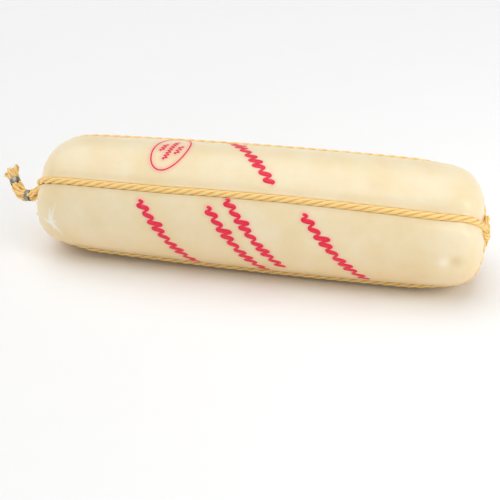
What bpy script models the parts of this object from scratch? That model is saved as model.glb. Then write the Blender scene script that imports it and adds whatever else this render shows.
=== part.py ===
"""Whole log-shaped provolone cheese, tied along its length.

Four runs of cord lie in shallow grooves about a quarter turn apart. At one end
they meet in a knot. At the other end they leave the cheese together as a short
tail, held by two steel clips, and their cut ends fan out.
Metres, +Z up, +X along the log from the tail to the knot.
"""
import bpy
import numpy as np
from math import atan2, ceil, cos, pi, radians, sin, sqrt

# The cheese: a barrel along X whose ends are rounded as superellipses.
LENGTH = 0.4347
RADIUS = 0.0578
TAIL_CAP = 0.0610            # length of the rounded end at the tail
KNOT_CAP = 0.0588            # length of the rounded end at the knot
CAP_POWER = 3.684
TAPER = 0.03                 # share by which the knot end is fatter than the middle
SWELL = 0.065                # share by which the middle is fatter than the ends
SLUMP = 0.026                # share by which the underside is longer than the middle
LOBE_RISE = 0.0010           # how far the cheese swells out between the cords
VALLEY_DEPTH = 0.0018
VALLEY_WIDTH = 0.010
FLAT_CUT = 0.0028            # depth of the flat that the log rests on
POLE_RADIUS = 0.009          # the ends inside this radius are one shallow dimple
DIMPLE_RADIUS = 0.0072

# The cords, by the angle of each run from level at the front, turning upwards.
CORD_ANGLES = {
    "cord_front": radians(36.2),
    "cord_top": radians(123.2),
    "cord_back": radians(212.0),
    "cord_under": radians(299.8),
}
CORD_RADIUS = 0.0031
SWAY = radians(1.35)         # how far the front cord strays from its straight line
SWAY_FROM = -0.085           # where along the log it starts to stray
SWAY_LENGTH = 0.205          # from there to where it crosses back
SWAY_EASE = 0.025
SWAY_END = 0.175
DIG_DEPTH = 0.0030           # how much deeper the cords bite at the knot end's shoulder
DIG_AT = 0.203
DIG_REACH = 0.040
TAIL_DIG_DEPTH = 0.0026      # how much deeper the under cord bites at the tail's shoulder
TAIL_DIG_AT = -0.192
TAIL_DIG_REACH = 0.026
GAP = 0.0003
GROOVE_RADIUS = 0.00366      # corners of the faceted groove, measured from the cord's centre
GROOVE_LIP = radians(80)
GROOVE_STEPS = 4
CORD_SIDES = 8

# Sampling of the smooth profile, then the mesh spacing of the cheese, which the
# cords share so that their facets match.
CAP_SAMPLES = 900
MIDDLE_SAMPLES = 600
LOBE_STEPS = 11
CAP_STATIONS = 10
MIDDLE_STATIONS = 11

# The tail: a route for the middle of the bundle, then the four cut ends.
TAIL_ROUTE = [
    (-0.2262, -0.0006, -0.0052),
    (-0.2325, -0.0010, -0.0090),
    (-0.2391, 0.0010, -0.0115),
    (-0.2458, 0.0028, -0.0120),
    (-0.2512, 0.0062, -0.0099),
    (-0.2550, 0.0098, -0.0066),
    (-0.2580, 0.0133, -0.0034),
    (-0.2606, 0.0165, -0.0004),
]
CUT_ENDS = {
    "cord_front": (-0.2672, 0.0212, 0.0060),
    "cord_top": (-0.2598, 0.0258, 0.0090),
    "cord_back": (-0.2650, 0.0282, 0.0048),
    "cord_under": (-0.2705, 0.0176, 0.0018),
}
INNER_CLIP_AT = 2            # which point of the route each clip sits on
OUTER_CLIP_AT = 6
CLIPPED_RADIUS = 0.00176     # radius of a cord squeezed by a clip
BUNDLE_RADIUS = 0.0023       # radius of a cord between the clips
SQUEEZE_REACH = 0.0044       # distance from a clip within which the cords are squeezed
TAIL_STEP = 0.0021
BEND_REACH = 0.0075          # how far the bend into the tail reaches each way
CLIP_INNER = 0.0049
CLIP_OUTER = 0.0056
CLIP_WIDTH = 0.0036
CLIP_SIDES = 24
CLIP_BEVEL = 0.0002

# The knot: rows of doubled-back cord stacked up the end of the log.
KNOT_ROWS = 4
KNOT_PITCH = 0.0064
KNOT_HALF_WIDTH = 0.0042
KNOT_TOP = 0.0106            # height of the highest row above the axis
KNOT_RADIUS = 0.0028
KNOT_LIFT = 0.0029           # the rows' centre above the plain end of the cheese
KNOT_END_DROP = 0.0050       # the loose end below the lowest row
KNOT_CURL = 0.0008           # how far each row's middle bulges outwards
KNOT_STEP = 0.0018
CORD_STOPS = {               # distance from the axis at which each cord meets the knot
    "cord_front": 0.0108,
    "cord_top": 0.0160,
    "cord_back": 0.0131,
    "cord_under": 0.0205,
}

# Colours, linear.
RIND_COLOUR = (0.860, 0.745, 0.520, 1.0)
CORD_COLOUR = (0.860, 0.560, 0.200, 1.0)
STEEL_COLOUR = (0.100, 0.095, 0.090, 1.0)


def clear_scene():
    for item in list(bpy.data.objects):
        bpy.data.objects.remove(item, do_unlink=True)


def material(name, colour, roughness, metallic=0.0):
    made = bpy.data.materials.new(name)
    made.use_nodes = True
    shader = made.node_tree.nodes["Principled BSDF"]
    shader.inputs["Base Color"].default_value = colour
    shader.inputs["Roughness"].default_value = roughness
    shader.inputs["Metallic"].default_value = metallic
    return made


def add_mesh(name, points, faces, finish):
    mesh = bpy.data.meshes.new(name)
    mesh.from_pydata([tuple(map(float, point)) for point in points], [], faces)
    mesh.update()
    mesh.shade_smooth()
    mesh.set_sharp_from_angle(angle=radians(40))
    mesh.materials.append(finish)
    made = bpy.data.objects.new(name, mesh)
    bpy.context.scene.collection.objects.link(made)
    return made


def unit(vectors):
    return vectors / np.linalg.norm(vectors, axis=-1, keepdims=True)


# ---- the profile that the whole log is turned from ----

def barrel_radius(x):
    share = 2 * x / LENGTH
    return RADIUS * (1 + TAPER * share + SWELL * (0.5 - share * share))


def dense_profile():
    """Points (x, radius) from the tail's pole to the knot's pole."""
    turn = np.linspace(0, pi / 2, CAP_SAMPLES)
    power = 2 / CAP_POWER
    rise = np.sin(turn) ** power
    run = 1 - np.cos(turn) ** power
    tail_x = -LENGTH / 2 + TAIL_CAP * run
    knot_x = LENGTH / 2 - KNOT_CAP * run
    middle_x = np.linspace(tail_x[-1], knot_x[-1], MIDDLE_SAMPLES)[1:-1]
    x = np.concatenate([tail_x, middle_x, knot_x[::-1]])
    full = np.concatenate([rise, np.ones_like(middle_x), rise[::-1]])
    return x, full * barrel_radius(x)


PROFILE_X, PROFILE_R = dense_profile()
PROFILE_S = np.concatenate([[0], np.cumsum(np.hypot(np.diff(PROFILE_X), np.diff(PROFILE_R)))])


def arc_length_at_radius(radius, knot_end):
    """Where along the profile its radius is this, near one pole."""
    half = len(PROFILE_R) // 2
    if knot_end:
        return float(np.interp(radius, PROFILE_R[:half:-1], PROFILE_S[:half:-1]))
    return float(np.interp(radius, PROFILE_R[:half], PROFILE_S[:half]))


def stations():
    """Arc lengths of the cheese's rings: close together round the shoulders."""
    start = arc_length_at_radius(POLE_RADIUS, False)
    end = arc_length_at_radius(POLE_RADIUS, True)
    tail_shoulder = float(np.interp(-LENGTH / 2 + TAIL_CAP, PROFILE_X, PROFILE_S))
    knot_shoulder = float(np.interp(LENGTH / 2 - KNOT_CAP, PROFILE_X, PROFILE_S))
    return np.concatenate([
        np.linspace(start, tail_shoulder, CAP_STATIONS, endpoint=False),
        np.linspace(tail_shoulder, knot_shoulder, MIDDLE_STATIONS, endpoint=False),
        np.linspace(knot_shoulder, end, CAP_STATIONS + 1),
    ])


def around(x, radius, angle):
    """A point of the turned form, with the underside slumped longer."""
    z = radius * np.sin(angle)
    return np.stack([x * (1 - SLUMP * z / RADIUS), -radius * np.cos(angle), z], axis=-1)


def eased(value):
    """Rises smoothly from 0 to 1 as the value does."""
    share = np.clip(value, 0.0, 1.0)
    return share * share * (3 - 2 * share)


def cord_angle(name, x):
    """The angle of a cord at each place along the log: the front one strays a little."""
    angle = CORD_ANGLES[name] + np.zeros_like(x)
    if name != "cord_front":
        return angle
    ends = eased((x - SWAY_FROM) / SWAY_EASE) * eased((SWAY_END + SWAY_EASE - x) / SWAY_EASE)
    return angle + SWAY * np.sin(pi * (x - SWAY_FROM) / SWAY_LENGTH) * ends


def dug_depth(name, lengths):
    """How much deeper a pulled cord bites at each place along the profile."""
    middle = np.interp(DIG_AT, PROFILE_X, PROFILE_S)
    dug = DIG_DEPTH * np.exp(-((lengths - middle) / DIG_REACH) ** 4)
    if name == "cord_under":
        middle = np.interp(TAIL_DIG_AT, PROFILE_X, PROFILE_S)
        dug = dug + TAIL_DIG_DEPTH * np.exp(-((lengths - middle) / TAIL_DIG_REACH) ** 4)
    return dug


def run_frames(name, lengths):
    """Centre, along, across and outward directions of one cord's run."""
    dense = around(PROFILE_X, PROFILE_R, cord_angle(name, PROFILE_X))
    along = np.gradient(dense, PROFILE_S, axis=0)
    centre = np.stack([np.interp(lengths, PROFILE_S, dense[:, i]) for i in range(3)], axis=-1)
    along = unit(np.stack([np.interp(lengths, PROFILE_S, along[:, i]) for i in range(3)], axis=-1))
    angle = cord_angle(name, np.interp(lengths, PROFILE_S, PROFILE_X))
    across = np.stack([np.zeros_like(angle), np.sin(angle), np.cos(angle)], axis=-1)
    across = unit(across - along * np.sum(across * along, axis=1, keepdims=True))
    outward = unit(np.cross(along, across))
    return centre - dug_depth(name, lengths)[:, None] * outward, along, across, outward


# ---- the cheese ----

def surface_rise(distance, radius, dug):
    """Height of the surface above the profile: less near a cord and near a pole."""
    valley = (VALLEY_DEPTH + dug) * np.exp(-(distance / VALLEY_WIDTH) ** 2)
    return LOBE_RISE * radius / RADIUS - valley


def profile_at(lengths):
    x = np.interp(lengths, PROFILE_S, PROFILE_X)
    r = np.interp(lengths, PROFILE_S, PROFILE_R)
    slope_x = np.interp(lengths, PROFILE_S, np.gradient(PROFILE_X, PROFILE_S))
    slope_r = np.interp(lengths, PROFILE_S, np.gradient(PROFILE_R, PROFILE_S))
    return x, r, -slope_r, slope_x


def groove_columns(name, lengths):
    """The groove under one cord, one column of points for each of its corners."""
    centre, _, across, outward = run_frames(name, lengths)
    turns = np.linspace(-GROOVE_LIP, GROOVE_LIP, GROOVE_STEPS + 1)
    return [centre + GROOVE_RADIUS * (sin(turn) * across - cos(turn) * outward) for turn in turns]


def lobe_columns(name, next_name, lengths):
    """The swelling between two cords, from one groove's lip to the next one's."""
    x, r, normal_x, normal_r = profile_at(lengths)
    angle = cord_angle(name, x)
    next_angle = cord_angle(next_name, x)
    next_angle = next_angle + 2 * pi * (next_angle < angle)
    lip = GROOVE_RADIUS * sin(GROOVE_LIP) / r
    columns = []
    for step in range(1, LOBE_STEPS + 1):
        even = step / (LOBE_STEPS + 1)
        bunched = (1 - cos(pi * even)) / 2
        share = (even + bunched) / 2
        here = angle + lip + share * (next_angle - angle - 2 * lip)
        distance = r * np.minimum(here - angle, next_angle - here)
        nearest = name if even < 0.5 else next_name
        rise = surface_rise(distance, r, dug_depth(nearest, lengths))
        columns.append(around(x + rise * normal_x, r + rise * normal_r, here))
    return columns


def dimple_ring(ring, pole_x):
    """A ring of the dimple's floor, inside the last ring of the cheese."""
    inner = []
    floor_x = pole_x - np.sign(pole_x) * GROOVE_RADIUS
    for point in ring:
        angle = atan2(point[2], -point[1])
        inner.append(around(floor_x, DIMPLE_RADIUS, angle))
    return inner


def cheese(finish):
    lengths = stations()
    names = list(CORD_ANGLES)
    columns = []
    for name, next_name in zip(names, names[1:] + names[:1]):
        columns += groove_columns(name, lengths)
        columns += lobe_columns(name, next_name, lengths)
    grid = np.stack(columns, axis=1)
    rings = [dimple_ring(grid[0], -LENGTH / 2)] + list(grid) + [dimple_ring(grid[-1], LENGTH / 2)]
    points = np.concatenate([np.asarray(ring) for ring in rings])
    floor = points[:, 2].min() + FLAT_CUT
    points[:, 2] = np.maximum(points[:, 2], floor)
    count = len(columns)
    faces = []
    for ring in range(len(rings) - 1):
        for side in range(count):
            a = ring * count + side
            b = ring * count + (side + 1) % count
            faces.append((a, a + count, b + count, b))
    tail_pole = len(points)
    knot_pole = tail_pole + 1
    last = (len(rings) - 1) * count
    points = np.concatenate([points, [points[:count].mean(axis=0), points[last:].mean(axis=0)]])
    for side in range(count):
        step = (side + 1) % count
        faces.append((tail_pole, side, step))
        faces.append((knot_pole, last + step, last + side))
    return add_mesh("cheese", points, faces, finish)


# ---- tubes for the cords and the knot ----

def smooth_route(points, step):
    """A Catmull-Rom curve through the points, sampled at about this step."""
    points = np.asarray(points, dtype=float)
    ends = np.vstack([2 * points[0] - points[1], points, 2 * points[-1] - points[-2]])
    made = []
    for i in range(len(points) - 1):
        a, b, c, d = ends[i:i + 4]
        count = max(1, ceil(np.linalg.norm(c - b) / step))
        for t in np.arange(count) / count:
            made.append(0.5 * (2 * b + (c - a) * t + (2 * a - 5 * b + 4 * c - d) * t * t
                               + (3 * b - a - 3 * c + d) * t ** 3))
    return np.array(made + [points[-1]])


def carried_sideways(route, first):
    """Sideways directions along a route that turn with it and never twist."""
    along = unit(np.gradient(route, axis=0))
    side = np.zeros_like(route)
    carry = np.asarray(first, dtype=float)
    for i, direction in enumerate(along):
        carry = carry - direction * np.dot(carry, direction)
        carry = carry / np.linalg.norm(carry)
        side[i] = carry
    return along, side


def tube(name, route, radii, first_side, sides, finish):
    along, side = carried_sideways(route, first_side)
    other = np.cross(along, side)
    points = []
    for centre, a, b, radius in zip(route, side, other, radii):
        for k in range(sides):
            turn = 2 * pi * (k + 0.5) / sides
            points.append(centre + radius * (cos(turn) * a + sin(turn) * b))
    faces = []
    for i in range(len(route) - 1):
        for k in range(sides):
            a = i * sides + k
            b = i * sides + (k + 1) % sides
            faces.append((a, b, b + sides, a + sides))
    faces.append(tuple(reversed(range(sides))))
    faces.append(tuple(range((len(route) - 1) * sides, len(route) * sides)))
    return add_mesh(name, points, faces, finish)


def tail_middle():
    """The bundle's middle line, and the places along it where the clips sit."""
    route = smooth_route(TAIL_ROUTE, TAIL_STEP)
    spots = []
    for index in (INNER_CLIP_AT, OUTER_CLIP_AT):
        gaps = np.linalg.norm(route - np.array(TAIL_ROUTE[index]), axis=1)
        spots.append(int(np.argmin(gaps)))
    return route, spots


def squeeze(route, spots):
    """How tightly the bundle is held at each point: 1 in a clip, 0 far from it."""
    held = np.zeros(len(route))
    for spot in spots:
        gap = np.linalg.norm(route - route[spot], axis=1)
        held = np.maximum(held, np.exp(-(gap / SQUEEZE_REACH) ** 4))
    return held


def bundle_offset(radius):
    """Distance from the bundle's middle to a cord, four abreast with a gap."""
    return (2 * radius + GAP) / sqrt(2)


def tail_run(angle, cut_end):
    """One cord's route and radii through the tail, from the cheese to its cut end."""
    middle, spots = tail_middle()
    along, side = carried_sideways(middle, (0, -1, 0))
    other = np.cross(along, side)
    radii = BUNDLE_RADIUS + (CLIPPED_RADIUS - BUNDLE_RADIUS) * squeeze(middle, spots)
    offset = bundle_offset(radii)[:, None]
    route = middle + offset * (cos(angle) * side + sin(angle) * other)
    start = route[-1]
    leave = route[-1] - route[-2]
    leave = leave / np.linalg.norm(leave)
    reach = np.linalg.norm(np.asarray(cut_end) - start)
    fan = []
    for t in (1 / 3, 2 / 3, 1.0):
        straight = start + leave * reach * t
        fan.append(straight + (np.asarray(cut_end) - start - leave * reach) * t * t)
    return np.vstack([route, fan]), np.concatenate([radii, [BUNDLE_RADIUS] * len(fan)])


def bend(start, start_along, end, end_along, reach, count):
    """A smooth bend between two runs, without its two end points."""
    made = []
    for t in np.linspace(0, 1, count + 2)[1:-1]:
        h1 = 2 * t ** 3 - 3 * t ** 2 + 1
        h2 = t ** 3 - 2 * t ** 2 + t
        h3 = -2 * t ** 3 + 3 * t ** 2
        h4 = t ** 3 - t ** 2
        made.append(h1 * start + h2 * reach * start_along + h3 * end + h4 * reach * end_along)
    return np.array(made)


def cord(name, finish):
    """One cord: tail, bend, run along the log, and its end against the knot."""
    lengths = stations()
    stop = arc_length_at_radius(CORD_STOPS[name], True)
    lengths = np.append(lengths[lengths < stop - CORD_RADIUS], stop)
    centre, along, across, _ = run_frames(name, lengths)
    tail, tail_radii = tail_run(CORD_ANGLES[name], CUT_ENDS[name])
    turned = bend(tail[0], unit(tail[0] - tail[1]), centre[0], along[0], BEND_REACH, 3)
    shrink = np.linspace(tail_radii[0], CORD_RADIUS, len(turned) + 2)[1:-1]
    route = np.vstack([tail[::-1], turned, centre])
    radii = np.concatenate([tail_radii[::-1], shrink, np.full(len(centre), CORD_RADIUS)])
    return tube(name, route, radii, tail_side(route, across[0], len(tail) + len(turned)), CORD_SIDES, finish)


def tail_side(route, across, index):
    """The sideways direction at the cut end that arrives square to the log's surface."""
    back = route[:index + 1][::-1]
    _, side = carried_sideways(back, across)
    return side[-1]


def knot_route():
    """A line of cord that doubles back on itself, row under row."""
    face_x = LENGTH / 2 + KNOT_LIFT
    half_turn = KNOT_PITCH / 2
    route = []
    for row in range(KNOT_ROWS):
        height = KNOT_TOP - row * KNOT_PITCH
        way = 1 if row % 2 == 0 else -1
        for share in np.linspace(-1, 1, ceil(2 * KNOT_HALF_WIDTH / KNOT_STEP) + 1):
            bulge = KNOT_CURL * (1 - share * share)
            route.append((face_x + bulge, way * share * KNOT_HALF_WIDTH, height))
        if row < KNOT_ROWS - 1:
            for turn in np.linspace(0, pi, 6)[1:-1]:
                y = way * (KNOT_HALF_WIDTH + half_turn * sin(turn))
                route.append((face_x, y, height - half_turn + half_turn * cos(turn)))
    last = np.array(route[-1])
    for turn in np.linspace(0, pi / 2, 4)[1:]:
        y = last[1] + way * half_turn * sin(turn)
        route.append((face_x, y, last[2] - half_turn + half_turn * cos(turn)))
    route.append((face_x, route[-1][1], route[-1][2] - KNOT_END_DROP + half_turn))
    route = np.array(route)
    route[:, 0] -= SLUMP / RADIUS * route[:, 2] * LENGTH / 2
    return route


def knot(finish):
    route = knot_route()
    radii = np.full(len(route), KNOT_RADIUS)
    return tube("knot", route, radii, (1, 0, 0), CORD_SIDES, finish)


# ---- the steel clips ----

def clip(name, spot, finish):
    """A flat steel band bent round the four cords."""
    middle, _ = tail_middle()
    along, side = carried_sideways(middle, (0, -1, 0))
    other = np.cross(along, side)
    half = CLIP_WIDTH / 2
    outline = [
        (CLIP_INNER, -half),
        (CLIP_OUTER - CLIP_BEVEL, -half),
        (CLIP_OUTER, CLIP_BEVEL - half),
        (CLIP_OUTER, half - CLIP_BEVEL),
        (CLIP_OUTER - CLIP_BEVEL, half),
        (CLIP_INNER, half),
    ]
    points = []
    for k in range(CLIP_SIDES):
        turn = 2 * pi * k / CLIP_SIDES
        radial = cos(turn) * side[spot] + sin(turn) * other[spot]
        for radius, shift in outline:
            points.append(middle[spot] + radius * radial + shift * along[spot])
    count = len(outline)
    faces = []
    for k in range(CLIP_SIDES):
        for j in range(count):
            a = k * count + j
            b = k * count + (j + 1) % count
            c = ((k + 1) % CLIP_SIDES) * count + (j + 1) % count
            d = ((k + 1) % CLIP_SIDES) * count + j
            faces.append((a, d, c, b))
    return add_mesh(name, points, faces, finish)


def stand_on_origin(pieces):
    """Hang every piece on an empty that puts the origin under the middle of the whole."""
    corners = np.concatenate([[vertex.co[:] for vertex in piece.data.vertices] for piece in pieces])
    low = corners.min(axis=0)
    high = corners.max(axis=0)
    stand = bpy.data.objects.new("stand", None)
    bpy.context.scene.collection.objects.link(stand)
    stand.location = (-(low[0] + high[0]) / 2, -(low[1] + high[1]) / 2, -low[2])
    for piece in pieces:
        piece.parent = stand


def build():
    clear_scene()
    rind = material("rind", RIND_COLOUR, 0.38)
    twine = material("cord", CORD_COLOUR, 0.70)
    steel = material("clip", STEEL_COLOUR, 0.42, 1.0)
    _, spots = tail_middle()
    pieces = [cheese(rind)]
    pieces += [cord(name, twine) for name in CORD_ANGLES]
    pieces.append(knot(twine))
    pieces.append(clip("clip_inner", spots[0], steel))
    pieces.append(clip("clip_outer", spots[1], steel))
    stand_on_origin(pieces)


build()
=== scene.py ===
from math import ceil, cos, pi, radians, sin, sqrt

import bpy
import numpy as np
from mathutils import Matrix, Vector, noise


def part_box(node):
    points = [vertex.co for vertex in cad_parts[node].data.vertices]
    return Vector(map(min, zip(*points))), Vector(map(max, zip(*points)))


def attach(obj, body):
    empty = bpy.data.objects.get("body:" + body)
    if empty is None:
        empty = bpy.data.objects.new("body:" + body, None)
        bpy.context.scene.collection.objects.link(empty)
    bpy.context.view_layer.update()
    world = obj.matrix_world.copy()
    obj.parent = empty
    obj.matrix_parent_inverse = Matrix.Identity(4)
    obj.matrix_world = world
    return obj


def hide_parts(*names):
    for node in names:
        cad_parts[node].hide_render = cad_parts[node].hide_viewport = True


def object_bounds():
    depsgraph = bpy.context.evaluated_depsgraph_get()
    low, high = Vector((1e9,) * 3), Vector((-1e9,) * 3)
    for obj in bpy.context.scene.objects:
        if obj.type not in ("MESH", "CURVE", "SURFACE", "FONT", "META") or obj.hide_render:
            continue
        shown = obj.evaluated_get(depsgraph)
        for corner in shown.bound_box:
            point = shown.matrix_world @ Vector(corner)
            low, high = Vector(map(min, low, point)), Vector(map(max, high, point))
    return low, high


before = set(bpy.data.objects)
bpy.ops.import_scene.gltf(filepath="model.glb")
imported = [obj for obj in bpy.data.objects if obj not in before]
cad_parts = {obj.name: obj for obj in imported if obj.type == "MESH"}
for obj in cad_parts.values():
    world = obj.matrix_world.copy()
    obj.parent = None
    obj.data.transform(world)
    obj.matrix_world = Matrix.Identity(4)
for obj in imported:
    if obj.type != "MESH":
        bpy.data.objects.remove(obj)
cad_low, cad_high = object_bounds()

# ------------------------------------------------
# Sizes in metres. The log's form is the CAD's, worked out again on a fine mesh.
# ------------------------------------------------
LENGTH = 0.4347
RADIUS = 0.0578
TAIL_CAP = 0.0610
KNOT_CAP = 0.0588
CAP_POWER = 3.684
TAPER = 0.03
SWELL = 0.065
SLUMP = 0.026
LOBE_RISE = 0.0010
VALLEY_DEPTH = 0.0018
VALLEY_WIDTH = 0.010
CAP_SAMPLES = 2400
MIDDLE_SAMPLES = 900
SHELL_SAMPLES = 721
SPREAD_SAMPLES = 6000

CORD_RADIUS = 0.0031
CORD_ANGLES = {
    "cord_front": radians(36.2),
    "cord_top": radians(123.2),
    "cord_back": radians(212.0),
    "cord_under": radians(299.8),
}
# The front cord strays sideways, and all of them bite deeper at the knot end's shoulder.
SWAY = radians(1.35)
SWAY_FROM = -0.085
SWAY_LENGTH = 0.205
SWAY_EASE = 0.025
SWAY_END = 0.175
DIG_DEPTH = 0.0030
DIG_AT = 0.203
DIG_REACH = 0.040
# The under cord bites deeper near the tail as well.
TAIL_DIG_DEPTH = 0.0026
TAIL_DIG_AT = -0.192
TAIL_DIG_REACH = 0.026

# The bed that each cord has pressed into the cheese, and the lip on each side of it.
BED_DEPTH = 0.0023
BED_HALF_WIDTH = 0.0026
LIP_HEIGHT = 0.0005
LIP_AT = 0.0037
LIP_WIDTH = 0.0015

# The radii of the end caps where a cord's run along the log starts, next to the tail,
# and where it ends, under the knot.
RUN_START_RADIUS = 0.0095
RUN_END_RADIUS = 0.0040
RUN_SAMPLES = 560

# The tail of cord: the middle of the bundle, then the four cut ends.
TAIL_ROUTE = [
    (-0.2262, -0.0006, -0.0052),
    (-0.2325, -0.0010, -0.0090),
    (-0.2391, 0.0010, -0.0115),
    (-0.2458, 0.0028, -0.0120),
    (-0.2512, 0.0062, -0.0099),
    (-0.2550, 0.0098, -0.0066),
    (-0.2580, 0.0133, -0.0034),
    (-0.2606, 0.0165, -0.0004),
]
CUT_ENDS = {
    "cord_front": (-0.2672, 0.0212, 0.0060),
    "cord_top": (-0.2598, 0.0258, 0.0090),
    "cord_back": (-0.2650, 0.0282, 0.0048),
    "cord_under": (-0.2705, 0.0176, 0.0018),
}
# Which points of the route the two clips sit on, the inner one first.
CLIPS_AT = (2, 6)
TAIL_SIDE = (0, -1, 0)
CLIPPED_RADIUS = 0.0019
BUNDLE_RADIUS = 0.0028
BUNDLE_PACKING = 0.96
SQUEEZE_REACH = 0.0034
BUNDLE_TWIST = radians(14.7)
BUNDLE_TWIST_FROM = 0.30
CUT_END_RADIUS = 0.97 * BUNDLE_RADIUS
ROUTE_STEP = 0.0006
FAN_STEPS = 14
BEND_REACH = 0.0075
BEND_POINTS = 12

# The bands: slightly oval and uneven rings, their two ends narrower and lapped.
CLIP_RADIUS = 0.0056
CLIP_THICKNESS = 0.0008
CLIP_WIDTH = 0.0050
CLIP_EDGE = 0.00022
CLIP_LAP = radians(38)
CLIP_LAP_GAP = 0.00012
CLIP_ROWS = 84
CLIP_OVAL = 0.035
CLIP_UNEVEN = 0.012
CLIP_PINCH = 0.10
CLIP_END = 0.97
CLIP_SEAMS = (radians(150), radians(215))

# Rope: three strands laid left-handed, a turn in each lay, each strand with a few yarns.
STRANDS = 3
LAY = 0.0330
STRAND_SHARE = 0.500
ROPE_STEP = 0.0010
STRAND_SIDES = 18
YARNS = 6
YARN_DEPTH = 0.055
YARN_TWIST = 1.15
CREVICE_SHADE_SPAN = (-0.62, 0.20)
STRANDS_APART = 3.0
PHASE_STEP = 0.9

# A rope's cut end: how far its strands open, how many steps shorter each next one is,
# and how thin a strand is at its cut.
SPLAY_REACH = 0.0030
CORD_SPLAY = 0.12
CUT_STAGGER = 0.7
CUT_SIZE = 0.72

# Loose fibres at the cut ends.
FRAY_SEED = 7
FIBRES = 26
FIBRE_RADIUS = 0.00022
FIBRE_STATIONS = 5
FIBRE_SIDES = 3
FIBRE_SPREAD = 0.85
FIBRE_SET_BACK = 0.0012
FIBRE_LEAN = (0.05, 0.50)
FIBRE_LENGTH = (0.0016, 0.0027)
FIBRE_CURL = 0.25
FIBRE_TAPER = 1.15

MM = 1000


def smoothstep(value, low, high):
    """0 below low, 1 above high, and an S-shaped rise between them."""
    share = np.clip((value - low) / (high - low), 0.0, 1.0)
    return share * share * (3 - 2 * share)


def wrapped(angle):
    """The same angle between minus half a turn and half a turn."""
    return (angle + pi) % (2 * pi) - pi


def unit(vectors):
    """The same directions, each of length 1."""
    return vectors / np.linalg.norm(vectors, axis=-1, keepdims=True)


# ------------------------------------------------
# The log's form. A place on it is a length along the profile from the tail's
# pole, and an angle from level at the front, rising over the top.
# ------------------------------------------------
def barrel_radius(x):
    """Radius of the swollen, tapering barrel, before its ends are rounded."""
    share = 2 * x / LENGTH
    return RADIUS * (1 + TAPER * share + SWELL * (0.5 - share * share))


def dense_profile():
    """Points (x, radius) from the tail's pole to the knot's pole."""
    turn = np.linspace(0, pi / 2, CAP_SAMPLES)
    power = 2 / CAP_POWER
    rise = np.sin(turn) ** power
    run = 1 - np.cos(turn) ** power
    tail_x = -LENGTH / 2 + TAIL_CAP * run
    knot_x = LENGTH / 2 - KNOT_CAP * run
    middle_x = np.linspace(tail_x[-1], knot_x[-1], MIDDLE_SAMPLES)[1:-1]
    x = np.concatenate([tail_x, middle_x, knot_x[::-1]])
    full = np.concatenate([rise, np.ones_like(middle_x), rise[::-1]])
    return x, full * barrel_radius(x)


PROFILE_X, PROFILE_R = dense_profile()
PROFILE_S = np.concatenate([[0], np.cumsum(np.hypot(np.diff(PROFILE_X), np.diff(PROFILE_R)))])
SLOPE_X = np.gradient(PROFILE_X, PROFILE_S)
SLOPE_R = np.gradient(PROFILE_R, PROFILE_S)
HALF = len(PROFILE_R) // 2


def tail_arc(radius):
    """Length along the profile where the tail's cap has this radius."""
    return float(np.interp(radius, PROFILE_R[:HALF], PROFILE_S[:HALF]))


def knot_arc(radius):
    """Length along the profile where the knot's cap has this radius."""
    return float(np.interp(radius, PROFILE_R[:HALF:-1], PROFILE_S[:HALF:-1]))


def arc_at_x(x):
    """Length along the profile at this place along the axis."""
    return np.interp(x, PROFILE_X, PROFILE_S)


def profile_at(lengths):
    """The profile's x, radius, and outward direction (x part, radius part)."""
    x = np.interp(lengths, PROFILE_S, PROFILE_X)
    r = np.interp(lengths, PROFILE_S, PROFILE_R)
    along_x = np.interp(lengths, PROFILE_S, SLOPE_X)
    along_r = np.interp(lengths, PROFILE_S, SLOPE_R)
    size = np.hypot(along_x, along_r)
    return x, r, -along_r / size, along_x / size


def around(x, radius, angle):
    """A point of the turned form, with the underside slumped longer."""
    z = radius * np.sin(angle)
    return np.stack([x * (1 - SLUMP * z / RADIUS), -radius * np.cos(angle), z], axis=-1)


def place_in_frame():
    """Where the middle of the log's axis is: found from the CAD cheese's box."""
    low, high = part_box("cheese")
    angle = np.linspace(0, 2 * pi, SHELL_SAMPLES)[None, :]
    shell = around(PROFILE_X[:, None], PROFILE_R[:, None], angle)
    middle = (shell[..., 0].min() + shell[..., 0].max()) / 2
    top = (PROFILE_R + LOBE_RISE * PROFILE_R / RADIUS).max()
    return np.array([(low.x + high.x) / 2 - middle, 0.0, high.z - top])


ORIGIN = place_in_frame()
FLOOR_Z = -ORIGIN[2]
FLOOR_GAP = 0.00005


def cord_angle(name, x):
    """The angle of a cord at each place along the log: the front one strays a little."""
    angle = CORD_ANGLES[name] + np.zeros_like(x)
    if name != "cord_front":
        return angle
    ends = smoothstep(x, SWAY_FROM, SWAY_FROM + SWAY_EASE)
    ends = ends * (1 - smoothstep(x, SWAY_END, SWAY_END + SWAY_EASE))
    return angle + SWAY * np.sin(pi * (x - SWAY_FROM) / SWAY_LENGTH) * ends


def dug_depth(name, lengths):
    """How much deeper a pulled cord bites at each place along the profile."""
    dug = DIG_DEPTH * np.exp(-((lengths - arc_at_x(DIG_AT)) / DIG_REACH) ** 4)
    if name == "cord_under":
        away = (lengths - arc_at_x(TAIL_DIG_AT)) / TAIL_DIG_REACH
        dug = dug + TAIL_DIG_DEPTH * np.exp(-away ** 4)
    return dug


def follow_cord(x, angle):
    """Angle of a column of the mesh, moved with the front cord where it is near."""
    away = np.clip(wrapped(angle - CORD_ANGLES["cord_front"]), -pi / 4, pi / 4)
    near = np.cos(2 * away)
    return angle + (cord_angle("cord_front", x) - CORD_ANGLES["cord_front"]) * near ** 2


def gap_to_cord(name, x, r, angle):
    """Distance round the log from one cord."""
    return np.abs(wrapped(angle - cord_angle(name, x))) * r


def cord_distance(x, r, angle):
    """Distance round the log from the nearest cord."""
    return np.minimum.reduce([gap_to_cord(name, x, r, angle) for name in CORD_ANGLES])


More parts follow.
